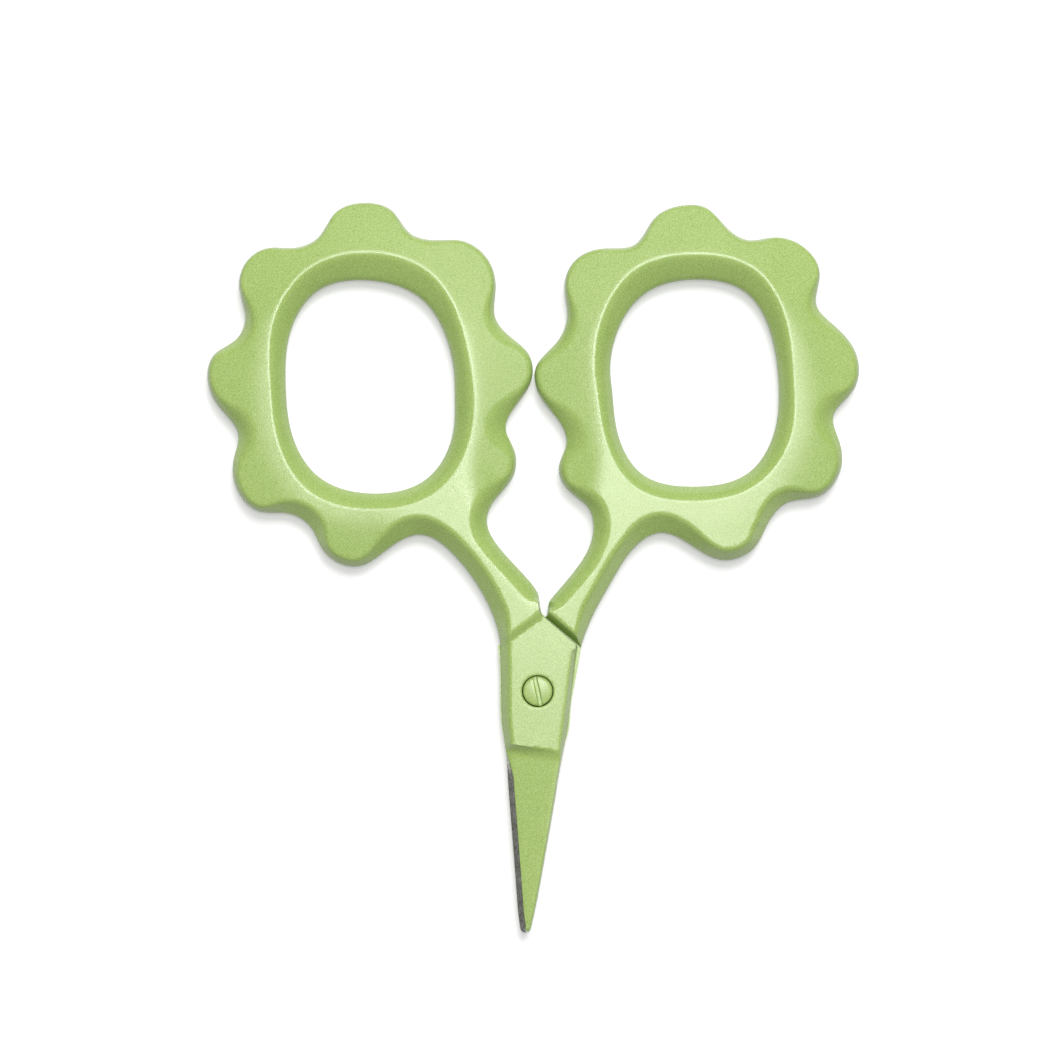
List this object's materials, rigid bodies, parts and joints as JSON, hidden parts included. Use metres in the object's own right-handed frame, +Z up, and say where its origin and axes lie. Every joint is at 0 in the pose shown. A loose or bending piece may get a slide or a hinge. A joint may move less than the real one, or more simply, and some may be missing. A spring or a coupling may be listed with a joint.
{
  "type": "embroidery scissors",
  "caption": "Small craft scissors with scalloped, petal-edged finger bows, straight pointed blades and a slotted pivot screw, painted satin green.",
  "frame": {"origin": "on the pivot axis, on the plane that the scissors lie on; the flat underside at the pivot is 0.45 mm above it", "axes": "+Z up, square to the blades and along the pivot axis; +Y from the pivot toward the finger bows; +X toward the rear half's bow"},
  "size_m": [0.0848, 0.095, 0.0044],
  "materials": {
    "green_paint": "satin, fine pearl grain",
    "screw_paint": "satin, fine pearl grain",
    "ground_steel": "bare, finely ground"
  },
  "bodies": {
    "rear": {"rear_half": "green_paint", "pivot_screw": "screw_paint"},
    "front": {"front_half": "green_paint"}
  },
  "joints": [
    {"name": "scissor_pivot", "type": "hinge", "parent": "rear", "child": "front", "pos_m": [0, 0, 0.0022], "axis": [0, 0, 1], "range_deg": [0, 70]}
  ]
}
